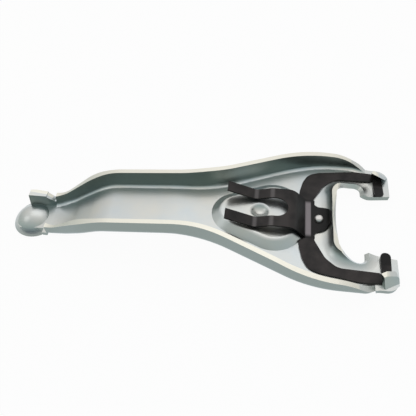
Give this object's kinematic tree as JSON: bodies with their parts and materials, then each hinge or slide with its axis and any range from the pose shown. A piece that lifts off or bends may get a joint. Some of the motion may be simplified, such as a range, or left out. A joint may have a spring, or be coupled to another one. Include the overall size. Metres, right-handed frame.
{
  "type": "clutch fork",
  "caption": "Stamped steel clutch release fork: a flanged channel arm with a pivot ball seat, a spring clip riveted to the web, a push-rod cup and two bearing tips.",
  "frame": {"origin": "centre of the pivot ball that the seat takes", "axes": "+X along the arm towards the two bearing tips, +Z out of the open side of the channel, towards the pivot stud"},
  "size_m": [0.314, 0.1322, 0.051],
  "materials": {
    "fork_steel": "satin",
    "spring_steel": "satin",
    "rivet_steel": "satin"
  },
  "bodies": {
    "root": {"fork_body": "fork_steel", "retaining_spring": "spring_steel", "spring_rivet": "rivet_steel"}
  },
  "joints": []
}
